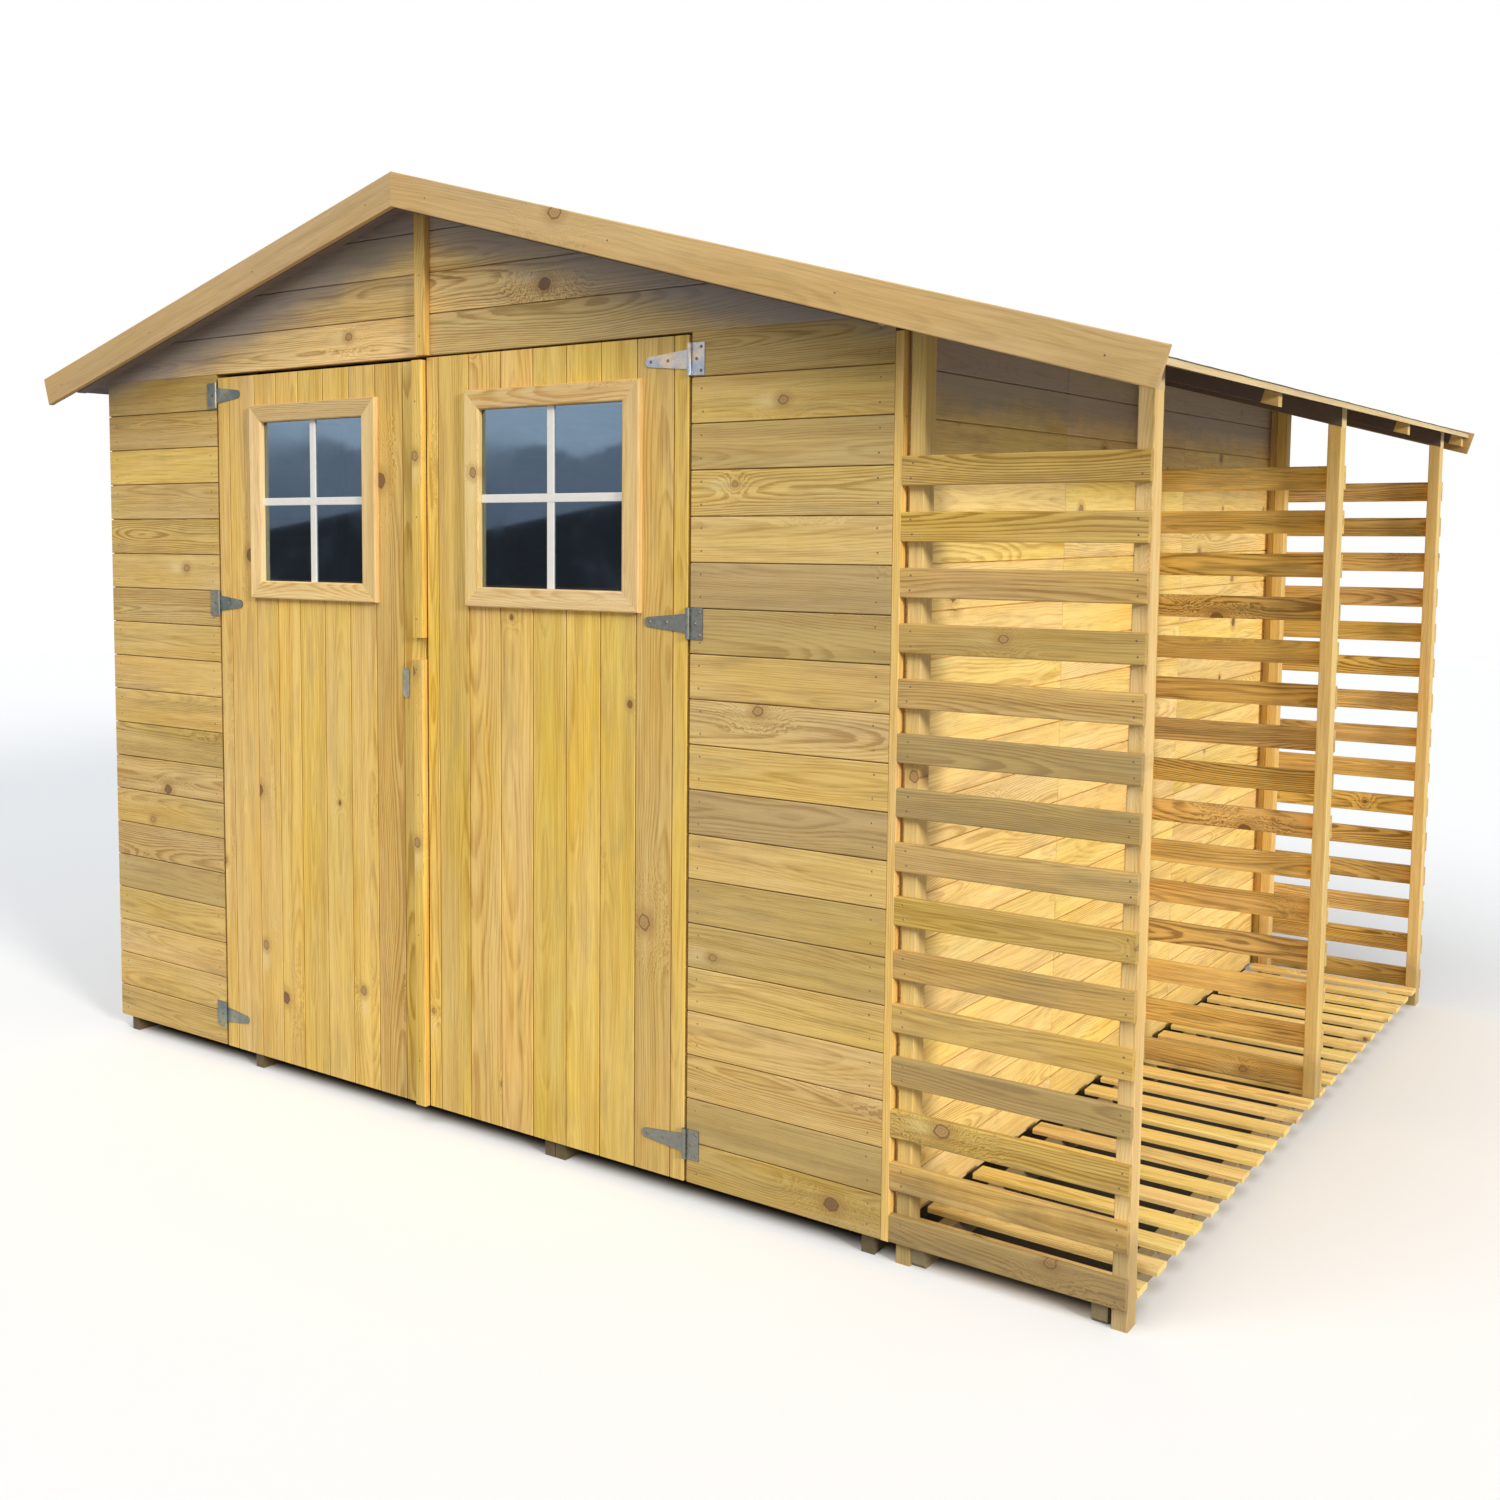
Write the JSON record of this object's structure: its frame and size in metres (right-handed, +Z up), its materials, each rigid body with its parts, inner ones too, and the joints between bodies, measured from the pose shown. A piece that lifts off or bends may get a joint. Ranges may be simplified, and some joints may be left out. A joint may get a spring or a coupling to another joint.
{
  "type": "garden shed with attached log store",
  "caption": "Gabled timber garden shed with glazed double doors that swing outward, and an open slatted log store under the long slope of the same roof.",
  "frame": {"origin": "on the ground, under the middle of the whole building with its roof", "axes": "+Z up, the doors face -Y, the log store is on the +X side, +Y runs to the back"},
  "size_m": [3.082, 2.842, 2.243],
  "materials": {
    "wall_timber": "pressure-treated softwood boards, matt, yellow-green",
    "door_timber": "pressure-treated softwood boards, matt, golden",
    "window_timber": "planed softwood moulding, matt",
    "bargeboard_timber": "planed softwood board, matt",
    "framing_timber": "sawn softwood framing, matt",
    "board_timber": "softwood boards, matt",
    "store_timber": "planed pressure-treated slats, matt",
    "bearer_timber": "rough sawn treated bearers, dark and damp",
    "roof_felt": "mineral felt, rough and matt",
    "galvanised_steel": "galvanised, satin",
    "glazing": "clear glazing, dark room behind"
  },
  "bodies": {
    "building": {"back_bargeboard_left": "bargeboard_timber", "back_bargeboard_right": "bargeboard_timber", "back_gable_left": "wall_timber", "back_gable_right": "wall_timber", "back_lattice": "store_timber", "back_wall_left": "wall_timber", "back_wall_right": "wall_timber", "corner_trims": "wall_timber", "eaves_blocks": "framing_timber", "floor_bearers": "bearer_timber", "front_bargeboard_left": "bargeboard_timber", "front_bargeboard_right": "bargeboard_timber", "front_gable_left": "wall_timber", "front_gable_right": "wall_timber", "front_lattice": "store_timber", "front_wall_left": "wall_timber", "front_wall_right": "wall_timber", "gable_cover_strip": "wall_timber", "left_hinge_plates": "galvanised_steel", "left_wall": "wall_timber", "middle_lattice": "store_timber", "rafters_left": "framing_timber", "rafters_right": "framing_timber", "ridge_beam": "framing_timber", "right_hinge_plates": "galvanised_steel", "right_wall": "wall_timber", "roof_deck_left": "board_timber", "roof_deck_right": "board_timber", "roof_felt": "roof_felt", "shed_floor": "board_timber", "store_bearers": "bearer_timber", "store_floor_slats": "store_timber"},
    "left_door": {"door_cover_strip": "door_timber", "latch_plate": "galvanised_steel", "left_door_boards": "door_timber", "left_door_braces": "framing_timber", "left_door_glass": "glazing", "left_door_window_frame": "window_timber", "left_hinge_straps": "galvanised_steel"},
    "right_door": {"right_door_boards": "door_timber", "right_door_braces": "framing_timber", "right_door_glass": "glazing", "right_door_window_frame": "window_timber", "right_hinge_straps": "galvanised_steel"}
  },
  "joints": [
    {"name": "left_door_hinge", "type": "hinge", "parent": "building", "child": "left_door", "pos_m": [-0.94, -1.315, 0.9], "axis": [0, 0, -1], "range_deg": [0, 150]},
    {"name": "right_door_hinge", "type": "hinge", "parent": "building", "child": "right_door", "pos_m": [0.542, -1.315, 0.9], "axis": [0, 0, 1], "range_deg": [0, 150]}
  ]
}
